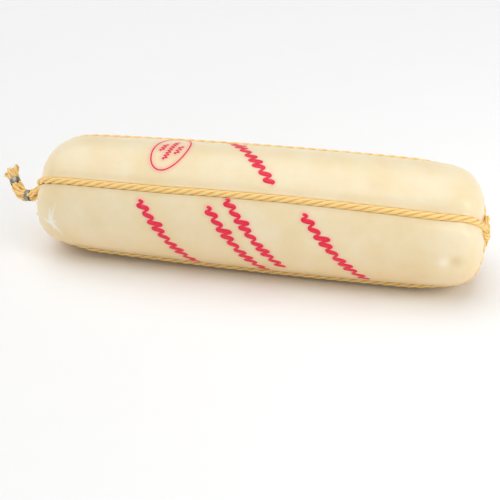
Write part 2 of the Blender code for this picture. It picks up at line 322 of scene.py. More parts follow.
def valleys(lengths, x, r, angle):
    """Depth of the valleys that the cords pull into the cheese."""
    depths = []
    for name in CORD_ANGLES:
        near = np.exp(-(gap_to_cord(name, x, r, angle) / VALLEY_WIDTH) ** 2)
        depths.append((VALLEY_DEPTH + dug_depth(name, lengths)) * near)
    return np.maximum.reduce(depths)


def spot(lengths, r, angle, x, middle, reach):
    """A round spot on the surface: 1 at its centre, fading out over its reach."""
    u = lengths - arc_at_x(x)
    v = r * wrapped(angle - middle)
    return np.exp(-(u * u + v * v) / reach ** 2)


# Dents pressed into the soft cheese: (x, angle, depth, reach). A depth below 0 is a bump.
DENTS = [
    (0.1895, radians(-7.0), 0.00200, 0.0066),
    (0.1805, radians(-6.0), -0.00080, 0.0048),
    (-0.1331, radians(57.7), 0.00100, 0.0026),
    (0.1118, radians(59.4), 0.00060, 0.0075),
    (0.1205, radians(51.0), 0.00040, 0.0026),
    (0.1696, radians(65.2), -0.00030, 0.0055),
    (0.1797, radians(62.5), -0.00030, 0.0045),
    (0.2001, radians(54.7), -0.00050, 0.0070),
    (0.2030, radians(20.8), -0.00050, 0.0065),
    (0.2085, radians(-32.0), 0.00090, 0.0130),
    (-0.0900, radians(250.0), 0.00050, 0.0100),
    (0.0500, radians(190.0), 0.00045, 0.0070),
    (-0.1800, radians(160.0), 0.00050, 0.0080),
    (0.1500, radians(150.0), 0.00040, 0.0060),
    (-0.2125, radians(-15.5), -0.00170, 0.0015),
]

# Faint tan patches in the film, two of them painted shade in the thumb mark and in a dent high on the
# knot end: (x, angle, strength, reach).
TAN_AND_DENT_SHADE_PATCHES = [
    (-0.1865, radians(-21.7), 0.30, 0.0130),
    (-0.1474, radians(-5.2), 0.22, 0.0120),
    (0.1915, radians(-6.0), 1.00, 0.0060),
    (0.1180, radians(56.0), 0.40, 0.0050),
    (0.1400, radians(-22.0), 0.45, 0.0260),
    (0.0300, radians(176.0), 0.50, 0.0150),
    (-0.0700, radians(262.0), 0.50, 0.0160),
]

# A painted highlight on the raised rim beside the thumb mark: (x, angle, strength, reach).
PAINTED_RIM_HIGHLIGHT = (0.1812, radians(-6.5), 0.42, 0.0050)

# The pinched star of wax on the lower front, near the tail: rays from its centre,
# each (along the log, up round the log, height, half width).
STAR = (-0.1920, radians(-10.0))
STAR_RAYS = [
    (0.0050, 0.0225, 0.00065, 0.0015),
    (-0.0010, 0.0180, 0.00080, 0.0021),
    (-0.0130, 0.0030, 0.00050, 0.0016),
    (0.0110, -0.0150, 0.00065, 0.0018),
    (0.0075, 0.0035, 0.00060, 0.0022),
    (0.0020, -0.0090, 0.00045, 0.0018),
]
STAR_CORE = 0.0024
STAR_CORE_HEIGHT = 0.0006
STAR_CORE_WHITE = 1.1
# Each ray bows a little, narrows and fades towards its tip, and eases in and out.
RAY_WHITE = 1.05
RAY_BOW = 0.0010
RAY_WIDTH = 1.1
RAY_NARROWING = 0.75
RAY_FADE = 0.6
RAY_EASE_IN = (-0.0015, 0.0010)
RAY_EASE_OUT = (-0.0005, 0.0015)


def star_fields(lengths, r, angle):
    """Height and whiteness of the pinched star."""
    u = lengths - arc_at_x(STAR[0])
    v = r * wrapped(angle - STAR[1])
    core = spot(lengths, r, angle, *STAR, STAR_CORE)
    rise = STAR_CORE_HEIGHT * core
    white = STAR_CORE_WHITE * core
    for ray_u, ray_v, height, half in STAR_RAYS:
        size = sqrt(ray_u ** 2 + ray_v ** 2)
        along = (u * ray_u + v * ray_v) / size
        share = np.clip(along / size, 0, 1)
        off = (v * ray_u - u * ray_v) / size - RAY_BOW * np.sin(pi * share)
        width = half * (RAY_WIDTH - RAY_NARROWING * share)
        ridge = np.exp(-(off / width) ** 2) * (1 - share) ** RAY_FADE
        ridge = ridge * smoothstep(along, *RAY_EASE_IN) * smoothstep(size - along, *RAY_EASE_OUT)
        rise = np.maximum(rise, height * ridge)
        white = np.maximum(white, RAY_WHITE * ridge)
    return rise, np.minimum(white, 1.0)


def rise_at(lengths, angle):
    """Height of the surface above the plain turned form."""
    x, r, _, _ = profile_at(lengths)
    distance = cord_distance(x, r, angle)
    rise = LOBE_RISE * r / RADIUS - valleys(lengths, x, r, angle)
    rise = rise - BED_DEPTH * np.exp(-(distance / BED_HALF_WIDTH) ** 4)
    rise = rise + LIP_HEIGHT * np.exp(-((distance - LIP_AT) / LIP_WIDTH) ** 2)
    for dent_x, dent_angle, depth, reach in DENTS:
        rise = rise - depth * spot(lengths, r, angle, dent_x, dent_angle, reach)
    star, _ = star_fields(lengths, r, angle)
    return rise + star


# Lumps of the soft cheese: (how far apart, where the noise is read, height).
LUMPS = [(0.060, 3.7, 0.00036), (0.021, 11.2, 0.00013), (0.009, 29.4, 0.00004)]
LUMPS_FADE = 0.010

# Fine wrinkles where the film is gathered over the two ends: how many go round each end,
# where each end's start and are full, in metres from its tip, and the radii where they fade.
WRINKLE_HEIGHT = 0.00011
WRINKLES = 23
FINE_WRINKLES = 37
KNOT_WRINKLES = (0.022, 0.006)
TAIL_WRINKLES = (0.020, 0.004)
WRINKLE_RADII = (0.004, 0.012)


def noise_field(points, scale, seed):
    """Smooth noise between about -1 and 1 at each point."""
    flat = points.reshape(-1, 3) / scale + seed
    values = np.array([noise.noise(Vector(p)) for p in flat.tolist()])
    return values.reshape(points.shape[:-1])


def lumps(points):
    """The slight unevenness of a soft cheese in its film."""
    return sum(height * noise_field(points, scale, seed) for scale, seed, height in LUMPS)


def film_wrinkles(x, r, angle):
    """Height of the gathered film's wrinkles."""
    knot_end = smoothstep(x, LENGTH / 2 - KNOT_WRINKLES[0], LENGTH / 2 - KNOT_WRINKLES[1])
    tail_end = smoothstep(-x, LENGTH / 2 - TAIL_WRINKLES[0], LENGTH / 2 - TAIL_WRINKLES[1])
    folds = np.sin(WRINKLES * angle + 2.1 * np.sin(3 * angle) + 60 * r)
    folds = folds + 0.6 * np.sin(FINE_WRINKLES * angle + 1.3)
    return WRINKLE_HEIGHT * folds * (knot_end + tail_end) * smoothstep(r, *WRINKLE_RADII)


def skin(lengths, angle):
    """Points of the cheese's real surface, and the outward direction at each."""
    lengths, angle = np.broadcast_arrays(lengths, angle)
    x, r, normal_x, normal_r = profile_at(lengths)
    rise = rise_at(lengths, angle) + film_wrinkles(x, r, angle)
    rise = rise + lumps(around(x, r, angle)) * smoothstep(r, 0.0, LUMPS_FADE)
    points = around(x + rise * normal_x, r + rise * normal_r, angle)
    outward = np.stack([normal_x, -normal_r * np.cos(angle), normal_r * np.sin(angle)], axis=-1)
    points[..., 2] = np.maximum(points[..., 2], FLOOR_Z + FLOOR_GAP)
    return points, outward


# ------------------------------------------------
# Mesh helpers
# ------------------------------------------------
def add_piece(name, points, faces, finish, replaced=()):
    """A smooth mesh piece in the frame's place, riding with the object."""
    mesh = bpy.data.meshes.new(name)
    mesh.from_pydata((np.asarray(points) + ORIGIN).tolist(), [], faces)
    mesh.update()
    mesh.shade_smooth()
    mesh.materials.append(finish)
    piece = bpy.data.objects.new(name, mesh)
    bpy.context.scene.collection.objects.link(piece)
    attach(piece, "root")
    if replaced:
        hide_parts(*replaced)
    return piece


VECTOR = ("FLOAT_VECTOR", "vector")


def add_field(piece, name, values, kind="FLOAT", part="value"):
    """A number, or a vector, for each point of the piece, for its material to read."""
    made = piece.data.attributes.new(name, kind, "POINT")
    made.data.foreach_set(part, np.asarray(values).astype(np.float32).ravel())


def spread(low, high, density, count):
    """Places between low and high, closer together where the density is high."""
    fine = np.linspace(low, high, SPREAD_SAMPLES)
    weight = density(fine)
    total = np.concatenate([[0], np.cumsum((weight[1:] + weight[:-1]) / 2)])
    return np.interp(np.linspace(0, total[-1], count), total, fine)


def tube_faces(rows, sides, first=0):
    """Faces of a closed tube whose rings are listed one after another."""
    faces = []
    for row in range(rows - 1):
        for side in range(sides):
            a = first + row * sides + side
            b = first + row * sides + (side + 1) % sides
            faces.append((a, b, b + sides, a + sides))
    faces.append(tuple(first + side for side in reversed(range(sides))))
    faces.append(tuple(first + (rows - 1) * sides + side for side in range(sides)))
    return faces


def smooth_route(points):
    """A Catmull-Rom curve through the points, in short steps."""
    points = np.asarray(points, dtype=float)
    ends = np.vstack([2 * points[0] - points[1], points, 2 * points[-1] - points[-2]])
    made = []
    for i in range(len(points) - 1):
        a, b, c, d = ends[i:i + 4]
        count = max(1, ceil(np.linalg.norm(c - b) / ROUTE_STEP))
        for t in np.arange(count) / count:
            made.append(0.5 * (2 * b + (c - a) * t + (2 * a - 5 * b + 4 * c - d) * t * t
                               + (3 * b - a - 3 * c + d) * t ** 3))
    return np.array(made + [points[-1]])


def resample(route, radii):
    """The route, its radii and its lengths at even steps of length."""
    length = np.concatenate([[0], np.cumsum(np.linalg.norm(np.diff(route, axis=0), axis=1))])
    count = max(4, int(round(length[-1] / ROPE_STEP)))
    even = np.linspace(0, length[-1], count + 1)
    track = np.stack([np.interp(even, length, route[:, i]) for i in range(3)], axis=-1)
    return track, np.interp(even, length, radii), even


def carried_frame(route, first):
    """Directions along a route, and two across it that turn with it and never twist."""
    along = unit(np.gradient(route, axis=0))
    side = np.zeros_like(route)
    carry = np.asarray(first, dtype=float)
    for i, direction in enumerate(along):
        carry = carry - direction * np.dot(carry, direction)
        carry = carry / np.linalg.norm(carry)
        side[i] = carry
    return along, side, np.cross(along, side)


# ------------------------------------------------
# Materials
# ------------------------------------------------
def srgb(red, green, blue):
    """A display colour of 0 to 255 as linear numbers."""
    made = []
    for value in (red, green, blue):
        share = value / 255
        made.append(share / 12.92 if share <= 0.04045 else ((share + 0.055) / 1.055) ** 2.4)
    return (*made, 1.0)


class Graph:
    """Short names for building a material's nodes."""

    def __init__(self, name):
        self.material = bpy.data.materials.new(name)
        self.material.use_nodes = True
        self.nodes = self.material.node_tree.nodes
        self.links = self.material.node_tree.links
        self.shader = self.nodes["Principled BSDF"]

    def node(self, kind, **values):
        made = self.nodes.new(kind)
        for key, value in values.items():
            setattr(made, key, value)
        return made

    def join(self, source, target):
        self.links.new(source, target)

    def feed(self, value, socket):
        """A constant or another node's output into a socket."""
        if isinstance(value, (int, float, tuple)):
            socket.default_value = value
        else:
            self.join(value, socket)

    def fill(self, made, **values):
        """Constants on a node's own inputs."""
        for key, value in values.items():
            made.inputs[key.replace("_", " ")].default_value = value

    def set(self, **values):
        self.fill(self.shader, **values)

    def colour(self, source):
        self.join(source, self.shader.inputs["Base Color"])

    def roughness(self, source):
        self.join(source, self.shader.inputs["Roughness"])

    def noise(self, coordinates, scale, detail=2.0, roughness=0.5, distortion=0.0):
        made = self.node("ShaderNodeTexNoise")
        self.fill(made, Scale=scale, Detail=detail, Roughness=roughness, Distortion=distortion)
        self.join(coordinates, made.inputs["Vector"])
        return made.outputs["Fac"]

    def ramp(self, value, low, high, to_low=0.0, to_high=1.0):
        made = self.node("ShaderNodeMapRange")
        self.fill(made, From_Min=low, From_Max=high, To_Min=to_low, To_Max=to_high)
        self.join(value, made.inputs["Value"])
        return made.outputs["Result"]

    def mix(self, share, first, second):
        """The first colour, turned into the second one by a share of 0 to 1."""
        made = self.node("ShaderNodeMix", data_type="RGBA")
        colours = [socket for socket in made.inputs if socket.type == "RGBA"]
        self.feed(share, made.inputs["Factor"])
        self.feed(first, colours[0])
        self.feed(second, colours[1])
        return next(socket for socket in made.outputs if socket.type == "RGBA")

    def tint(self, colour, field, strength, second):
        """The colour, turned into the second one where a field of the mesh is high."""
        return self.mix(self.math("MULTIPLY", self.attribute(field), strength), colour, second)

    def math(self, operation, first, second):
        made = self.node("ShaderNodeMath", operation=operation)
        self.feed(first, made.inputs[0])
        self.feed(second, made.inputs[1])
        return made.outputs[0]

    def attribute(self, name, output="Fac"):
        return self.node("ShaderNodeAttribute", attribute_name=name).outputs[output]

    def object_coordinates(self):
        return self.node("ShaderNodeTexCoord").outputs["Object"]

    def stretch(self, coordinates, scale):
        made = self.node("ShaderNodeMapping")
        self.fill(made, Scale=scale)
        self.join(coordinates, made.inputs["Vector"])
        return made.outputs["Vector"]

    def bump(self, height, distance, strength=1.0):
        made = self.node("ShaderNodeBump")
        self.fill(made, Distance=distance, Strength=strength)
        self.join(height, made.inputs["Height"])
        self.join(made.outputs["Normal"], self.shader.inputs["Normal"])


def rind_material():
    """Ivory waxed film over the cheese: mottled, tan in patches, whitened in its creases, with
    painted light: golden bounce and shade by the cords, shade underneath and in two dents, and a
    highlight by the thumb mark.
    """
    g = Graph("rind")
    place = g.object_coordinates()
    mottle = g.ramp(g.noise(place, 26, 3.0, 0.55), 0.35, 0.68)
    colour = g.mix(mottle, srgb(248, 232, 197), srgb(243, 222, 176))
    patches = g.ramp(g.noise(place, 14, 2.0, 0.5, 0.4), 0.60, 0.78, 0.0, 0.14)
    colour = g.mix(patches, colour, srgb(228, 198, 146))
    flecks = g.ramp(g.noise(place, 900, 2.0, 0.6), 0.66, 0.80, 0.0, 0.25)
    colour = g.mix(flecks, colour, srgb(252, 246, 232))
    # painted light: golden bounce from the cord and shade beside it
    colour = g.tint(colour, "painted_cord_bounce_and_shade", 0.35, srgb(232, 198, 136))
    # tan patches, and painted shade in two dents
    colour = g.tint(colour, "tan_and_dent_shade", 0.40, srgb(222, 190, 134))
    colour = g.tint(colour, "halo", 0.60, srgb(250, 158, 156))
    # painted shade, warm and darker, on the underside
    colour = g.tint(colour, "under", 0.80, srgb(229, 186, 116))
    # the star's whitened creases, and a painted highlight on the thumb mark's rim
    colour = g.tint(colour, "white", 1.3, srgb(255, 248, 230))
    g.colour(colour)
    g.roughness(g.ramp(g.noise(place, 60, 3.0, 0.6), 0.3, 0.7, 0.32, 0.44))
    g.set(Subsurface_Weight=0.22, Subsurface_Scale=0.0028, Specular_IOR_Level=0.32)
    g.set(Subsurface_Radius=(1.0, 0.62, 0.32), Coat_Weight=0.30, Coat_Roughness=0.24)
    grain = g.math("MULTIPLY", g.noise(place, 700, 2.0), 0.25)
    g.bump(g.math("ADD", g.noise(place, 140, 4.0, 0.6), grain), 0.00025, 0.55)
    return g.material


def rope_material():
    """Golden satin fibre: fine yarns along each strand, with painted shade down between them."""
    g = Graph("cord")
    fibre = g.attribute("fibre", "Vector")
    yarns = g.noise(g.stretch(fibre, (2.6, 0.20, 1.0)), 5.0, 4.0, 0.65)
    broad = g.noise(g.stretch(fibre, (0.6, 0.08, 1.0)), 3.0, 2.0)
    colour = g.mix(g.ramp(yarns, 0.30, 0.70), srgb(255, 206, 114), srgb(255, 236, 176))
    colour = g.mix(g.ramp(broad, 0.35, 0.70, 0.0, 0.45), colour, srgb(252, 216, 138))
    # painted shade in the crevices between strands
    colour = g.tint(colour, "painted_crevice_shade", 0.55, srgb(242, 156, 40))
    g.colour(colour)
    g.roughness(g.ramp(yarns, 0.2, 0.8, 0.46, 0.66))
    g.set(Specular_IOR_Level=0.35, Subsurface_Weight=0.20, Subsurface_Scale=0.0015)
    g.set(Subsurface_Radius=(1.0, 0.6, 0.25))
    g.bump(yarns, 0.00010, 0.6)
    return g.material


def clip_material():
    """Dark brushed steel, scuffed."""
    g = Graph("clip")
    place = g.object_coordinates()
    brush = g.noise(g.stretch(place, (300, 900, 900)), 1.0, 3.0, 0.6)
    scuff = g.noise(place, 900, 3.0, 0.6)
    g.colour(g.mix(g.ramp(scuff, 0.3, 0.7), srgb(132, 129, 125), srgb(172, 170, 166)))
    g.roughness(g.ramp(brush, 0.2, 0.8, 0.26, 0.48))
    g.set(Metallic=1.0)
    g.bump(brush, 0.00008, 0.6)
    return g.material


def ink_material():
    """Red printing ink, paler where it is worn thin."""
    g = Graph("ink")
    place = g.object_coordinates()
    worn = g.ramp(g.noise(place, 420, 3.0, 0.6), 0.42, 0.72)
    g.colour(g.mix(worn, srgb(242, 14, 60), srgb(246, 46, 84)))
    g.roughness(g.ramp(g.noise(place, 200, 2.0), 0.3, 0.7, 0.36, 0.50))
    g.set(Specular_IOR_Level=0.45, Coat_Weight=0.15, Coat_Roughness=0.25)
    return g.material


def floor_material():
    """Matt white studio floor."""
    g = Graph("floor")
    place = g.object_coordinates()
    g.colour(g.mix(g.noise(place, 30, 3.0), srgb(250, 250, 250), srgb(252, 252, 252)))
    g.set(Roughness=0.8, Specular_IOR_Level=0.2)
    return g.material


RIND = rind_material()
ROPE = rope_material()
STEEL = clip_material()
INK = ink_material()


# ------------------------------------------------
# Print on the film: slanting wavy flourishes, and ovals with rows of short waves.
# It is laid out in mm on the unrolled surface: x along the log, q round it from
# level at the front.
# ------------------------------------------------
UNROLL_RADIUS = 60.0
FLOURISH_LENGTH = 98.0
FLOURISH_WAVES = 10.5
FLOURISH_POINTS = 560
FLOURISH_SLANT = 0.55
FLOURISH_HEIGHT = 2.9
FLOURISH_LINE = 1.25
FLOURISH_EASE = (-0.02, 0.05)
# The tall waves of a flourish: (where along it, how tall).
TALL_WAVES = [(0.30, 1.0), (0.72, 0.8)]
TALL_HEIGHT = 2.2
TALL_WIDTH = 0.035
# Each flourish: its middle (x, q), its size, and how steeply it leans, in degrees.
FLOURISHES = [
    (-76.6, -11.3, 0.95, -53.5),
    (-9.6, -11.4, 0.95, -53.4),
    (7.0, -0.5, 0.92, -52.0),
    (83.0, -9.0, 0.96, -51.0),
    (-9.5, 89.6, 1.0, -50.3),
    (-100.0, 172.0, 1.0, -55.0),
    (-28.0, 166.0, 1.0, -55.0),
    (-9.0, 178.0, 0.92, -52.0),
    (62.0, 168.0, 1.0, -53.0),
    (-116.0, 258.0, 1.0, -55.0),
    (-45.0, 262.0, 1.0, -57.0),
    (24.0, 256.0, 1.0, -52.0),
    (42.0, 266.0, 0.92, -52.0),
    (104.0, 250.0, 1.0, -55.0),
]
# Each oval: its middle (x, q), and how it leans, in degrees.
OVALS = [(-84.8, 85.6, 78.7), (116.0, 176.0, 78.7)]
OVAL_HALF = (28.8, 16.75)
OVAL_POINTS = 241
OVAL_LINE = 0.75
# The rows of waves in an oval: (from, to, level).
OVAL_ROWS = [(-5.5, 7.0, 8.0), (-16.0, 16.0, 0.0), (-6.0, 8.0, -8.0)]
SMALL_WAVE_POINTS = 160
SMALL_WAVE_LENGTH = 4.2
SMALL_WAVE_HEIGHT = 1.9
SMALL_WAVE_LINE = 0.80

# The ink's thickness above and below the film, and how far it stays from a cord, in metres.
INK_ABOVE = 0.00006
INK_BELOW = 0.00014
INK_CLEAR = 0.0042
INK_SHORTEST = 3

# The pink that the ink leaves round itself, in mm. Every few points of a line spread it.
HALO_REACH = 3.0
HALO_EDGE = 7
HALO_STEP = 5


def placed(middle_x, middle_q, lean, along, across):
    """Points given along and across a leaning line, on the unrolled surface."""
    c, s = cos(lean), sin(lean)
    x = middle_x + along * c - across * s
    q = middle_q + along * s + across * c
    return np.stack([x, q], axis=-1)


def flourish(middle_x, middle_q, size, lean):
    """One slanting wave with thick down-strokes, two of them tall: (points, half widths)."""
    t = np.linspace(0, 1, FLOURISH_POINTS)
    ends = smoothstep(t, *FLOURISH_EASE) * smoothstep(1 - t, *FLOURISH_EASE)
    tall = sum(share * np.exp(-((t - at) / TALL_WIDTH) ** 2) for at, share in TALL_WAVES)
    height = size * ends * (FLOURISH_HEIGHT + 0.5 * np.sin(7 * pi * t) + TALL_HEIGHT * tall)
    wave = 2 * pi * FLOURISH_WAVES * t + 0.5 * np.sin(6 * pi * t)
    across = height * np.sin(wave) + 0.8 * size * tall
    along = (t - 0.5) * FLOURISH_LENGTH * size + FLOURISH_SLANT * across
    heavy = 0.5 + 0.5 * np.cos(wave)
    half = size * FLOURISH_LINE * (1 + heavy) * (0.4 + 0.6 * ends)
    return placed(middle_x, middle_q, lean, along, across), half


def small_wave(middle_x, middle_q, lean, start, end, level):
    """A short heavy wave inside an oval."""
    t = np.linspace(0, 1, SMALL_WAVE_POINTS)
    turns = max(2, round((end - start) / SMALL_WAVE_LENGTH))
    along = start + (end - start) * t
    across = level + SMALL_WAVE_HEIGHT * np.sin(2 * pi * turns * t)
    half = np.full(SMALL_WAVE_POINTS, SMALL_WAVE_LINE)
    return placed(middle_x, middle_q, lean, along, across), half


def oval_strokes(middle_x, middle_q, lean):
    """An oval ring round its rows of short waves."""
    turn = np.linspace(0, 2 * pi, OVAL_POINTS)
    along, across = OVAL_HALF[0] * np.cos(turn), OVAL_HALF[1] * np.sin(turn)
    ring = placed(middle_x, middle_q, lean, along, across)
    strokes = [(ring, np.full(OVAL_POINTS, OVAL_LINE))]
    for row in OVAL_ROWS:
        strokes.append(small_wave(middle_x, middle_q, lean, *row))
    return strokes


def all_strokes():
    """Every line of the print: (points, half widths)."""
    strokes = []
    for x, q, size, lean in FLOURISHES:
        strokes.append(flourish(x, q, size, radians(lean)))
    for x, q, lean in OVALS:
        strokes += oval_strokes(x, q, radians(lean))
    return strokes


def ink_runs(points, half):
    """The stretches of a stroke that aren't under a cord."""
    x = points[:, 0] / MM
    _, r, _, _ = profile_at(arc_at_x(x))
    clear = cord_distance(x, r, points[:, 1] / UNROLL_RADIUS) > INK_CLEAR
    edges = np.flatnonzero(np.diff(np.concatenate([[0], clear, [0]])))
    spans = [(a, b) for a, b in zip(edges[::2], edges[1::2]) if b - a > INK_SHORTEST]
    return [(points[a:b], half[a:b]) for a, b in spans]


def ink_ribbon(track, widths):
    """One stretch of ink: rows of three points over the film and two under it."""
    direction = unit(np.gradient(track, axis=0))
    sideways = np.stack([-direction[:, 1], direction[:, 0]], axis=-1) * widths[:, None]
    lines = []
    for edge in (track + sideways, track, track - sideways):
        lines.append(skin(arc_at_x(edge[:, 0] / MM), edge[:, 1] / UNROLL_RADIUS))
    over = [points + outward * INK_ABOVE for points, outward in lines]
    under = [points - outward * INK_BELOW for points, outward in (lines[2], lines[0])]
    return np.stack(over + under, axis=1)


def make_print(strokes):
    """Every stroke as thin closed ribbons that follow the cheese."""
    points, faces = [], []
    first = 0
    for line, half in strokes:
        for track, widths in ink_runs(line, half):
            ribbon = ink_ribbon(track, widths)
            rows, sides, _ = ribbon.shape
            points.append(ribbon.reshape(-1, 3))
            faces += tube_faces(rows, sides, first)
            first += rows * sides
    add_piece("print", np.concatenate(points), faces, INK)


def halo_field(strokes, x, q):
    """How pink the film is round the print, at points given in mm."""
    field = np.zeros(x.shape)
    for line, _ in strokes:
        for ink_x, ink_q in line[::HALO_STEP]:
            near = (np.abs(x - ink_x) < HALO_EDGE) & (np.abs(q - ink_q) < HALO_EDGE)
            away = (x[near] - ink_x) ** 2 + (q[near] - ink_q) ** 2
            field[near] = np.maximum(field[near], np.exp(-away / HALO_REACH ** 2))
    return field


# ------------------------------------------------
# The cheese
# ------------------------------------------------
RINGS = 286
COLUMNS = 320
POLE_RADIUS = 0.0008
# Where rings lie closer, (x, reach, how much), and columns, in the same way.
CLOSE_RINGS = [(STAR[0], 0.020, 1.1), (0.19, 0.030, 0.3)]
CLOSE_AT_CORD = (0.0045, 2.2)
CLOSE_AT_STAR = (0.018, 0.9)

# Painted light on the film: golden bounce light from a cord and shade beside it, less of both below
# the front one, where the film faces up; and painted shade, browner, underneath.
CORD_BOUNCE_REACH = 0.0058
BOUNCE_BELOW_SHARE = 0.15
UNDERSIDE_SHADE_SPREAD = 0.95
UNDERSIDE_SHADE_RADII = (0.028, 0.056)
HALO_FROM_RADIUS = 0.045


def ring_density(lengths):
    """Rings lie closer at the star and at the thumb mark."""
    density = np.ones_like(lengths)
    for x, reach, more in CLOSE_RINGS:
        density += more * np.exp(-((lengths - arc_at_x(x)) / reach) ** 4)
    return density


def column_density(angles):
    """Columns lie closer at each cord and at the star."""
    density = np.ones_like(angles)
    for middle in CORD_ANGLES.values():
        gap = np.abs(wrapped(angles - middle)) * RADIUS
        density += CLOSE_AT_CORD[1] * np.exp(-(gap / CLOSE_AT_CORD[0]) ** 2)
    gap = np.abs(wrapped(angles - STAR[1])) * RADIUS
    return density + CLOSE_AT_STAR[1] * np.exp(-(gap / CLOSE_AT_STAR[0]) ** 4)


def cheese_faces():
    """Quads between the rings, and a fan of triangles at each pole."""
    faces = []
    last = (RINGS - 1) * COLUMNS
    tail_pole, knot_pole = RINGS * COLUMNS, RINGS * COLUMNS + 1
    for ring in range(RINGS - 1):
        for column in range(COLUMNS):
            a = ring * COLUMNS + column
            b = ring * COLUMNS + (column + 1) % COLUMNS
            faces.append((a, a + COLUMNS, b + COLUMNS, b))
    for column in range(COLUMNS):
        step = (column + 1) % COLUMNS
        faces.append((tail_pole, column, step))
        faces.append((knot_pole, last + step, last + column))
    return faces


def film_fields(lengths, x, r, angle, strokes):
    """What the film's material reads at each point of the mesh."""
    above = smoothstep(wrapped(angle - cord_angle("cord_front", x)), -0.01, 0.03)
    # painted bounce light and shade beside the cords
    cord_bounce = np.exp(-(cord_distance(x, r, angle) / CORD_BOUNCE_REACH) ** 2)
    # tan patches, and painted shade in two dents
    tan_and_shade = np.zeros(r.shape)
    for patch_x, middle, strength, reach in TAN_AND_DENT_SHADE_PATCHES:
        tan_and_shade = np.maximum(tan_and_shade, strength * spot(lengths, r, angle, patch_x, middle, reach))
    # a painted highlight on the rim of the thumb mark
    rim_x, rim_middle, rim_strength, rim_reach = PAINTED_RIM_HIGHLIGHT
    rim_highlight = rim_strength * spot(lengths, r, angle, rim_x, rim_middle, rim_reach)
    _, star = star_fields(lengths, r, angle)
    # painted shade on the underside
    under = np.exp(-(wrapped(angle + pi / 2) / UNDERSIDE_SHADE_SPREAD) ** 2)
    q = ((angle + pi / 2) % (2 * pi) - pi / 2) * UNROLL_RADIUS
    return {
        "painted_cord_bounce_and_shade": cord_bounce * (BOUNCE_BELOW_SHARE + (1 - BOUNCE_BELOW_SHARE) * above),
        "white": np.maximum(star, rim_highlight),
        "halo": halo_field(strokes, MM * x, q) * (r > HALO_FROM_RADIUS),
        "tan_and_dent_shade": tan_and_shade,
        "under": under * smoothstep(r, *UNDERSIDE_SHADE_RADII),
    }


def make_cheese(strokes):
    """The cheese in its film, its rings close together where its shape is finest."""
    lengths = spread(tail_arc(POLE_RADIUS), knot_arc(POLE_RADIUS), ring_density, RINGS)
    columns = spread(0, 2 * pi, column_density, COLUMNS + 1)[:-1]
    lengths, columns = np.broadcast_arrays(lengths[:, None], columns[None, :])
    x, r, _, _ = profile_at(lengths)
    angle = follow_cord(x, columns)
    grid, _ = skin(lengths, angle)
    poles = [grid[0].mean(axis=0), grid[-1].mean(axis=0)]
    points = np.concatenate([grid.reshape(-1, 3), poles])
    piece = add_piece("cheese_skin", points, cheese_faces(), RIND, ["cheese"])
    for name, field in film_fields(lengths, x, r, angle, strokes).items():
        add_field(piece, name, np.concatenate([field.ravel(), [0.0, 0.0]]))


# ------------------------------------------------
# Rope
# ------------------------------------------------
def rope(name, route, radii, first_side, replaced, phase=0.0, splay=0.0):
    """Three twisted strands along a route. splay opens the strands at the route's start."""
    track, thick, length = resample(route, radii)
    _, side, other = carried_frame(track, first_side)
    opening = np.exp(-length / SPLAY_REACH) * splay
    turn = np.linspace(0, 2 * pi, STRAND_SIDES, endpoint=False)
    c, s = np.cos(turn)[None, :, None], np.sin(turn)[None, :, None]
    # painted shade on the side of each strand that faces the others
    inward = smoothstep(-np.cos(turn), *CREVICE_SHADE_SPAN)
    points, faces, fibre, painted_crevice_shade = [], [], [], []
    first = 0
    for strand in range(STRANDS):
        wind = phase + 2 * pi * strand / STRANDS - 2 * pi * length / LAY
        radial = np.cos(wind)[:, None] * side + np.sin(wind)[:, None] * other
        middle = track + radial * (thick * (1 - STRAND_SHARE) * (1 + opening))[:, None]
        heading = unit(np.gradient(middle, axis=0))
        out = unit(radial - heading * np.sum(radial * heading, axis=1, keepdims=True))
        across = np.cross(heading, out)
        # A splayed rope's strands are cut at slightly different places.
        start = int(strand * CUT_STAGGER) if splay else 0
        rows = len(track) - start
        size = thick * STRAND_SHARE
        size[start] *= CUT_SIZE
        spin = turn[None, :] + wind[:, None] * YARN_TWIST
        yarn = 1 + YARN_DEPTH * np.cos(YARNS * spin)
        ring = (size[:, None] * yarn)[..., None] * (c * out[:, None, :] + s * across[:, None, :])
        points.append((middle[:, None, :] + ring)[start:])
        faces += tube_faces(rows, STRAND_SIDES, first)
        first += rows * STRAND_SIDES
        run = np.broadcast_to(length[:, None] * MM, spin.shape)
        lay = np.stack([np.cos(spin), run, np.sin(spin) + STRANDS_APART * strand], axis=-1)
        fibre.append(lay[start:])
        painted_crevice_shade.append(np.tile(inward, rows))
    points = np.concatenate(points).reshape(-1, 3)
    piece = add_piece(name, points, faces, ROPE, replaced)
    add_field(piece, "fibre", np.concatenate(fibre), *VECTOR)
    add_field(piece, "painted_crevice_shade", np.concatenate(painted_crevice_shade))


def run_along_log(name):
    """The centre line of one cord on the cheese, from the tail's bend to the knot."""
    lengths = np.linspace(tail_arc(RUN_START_RADIUS), knot_arc(RUN_END_RADIUS), RUN_SAMPLES)
    x, r, normal_x, normal_r = profile_at(lengths)
    dug = dug_depth(name, lengths)
    return around(x - dug * normal_x, r - dug * normal_r, cord_angle(name, x))


# The bundle's centre line, the directions along and across it, and where the clips are.
MIDDLE = smooth_route(TAIL_ROUTE)
MIDDLE_ALONG, MIDDLE_SIDE, MIDDLE_OTHER = carried_frame(MIDDLE, TAIL_SIDE)
CLIPS = [int(np.argmin(np.linalg.norm(MIDDLE - np.array(TAIL_ROUTE[at]), axis=1))) for at in CLIPS_AT]


def squeeze():
    """How tightly the bundle is held at each point of its centre line: 1 under a clip."""
    held = np.zeros(len(MIDDLE))
    for clip in CLIPS:
        gap = np.linalg.norm(MIDDLE - MIDDLE[clip], axis=1)
        held = np.maximum(held, np.exp(-(gap / SQUEEZE_REACH) ** 4))
    return held


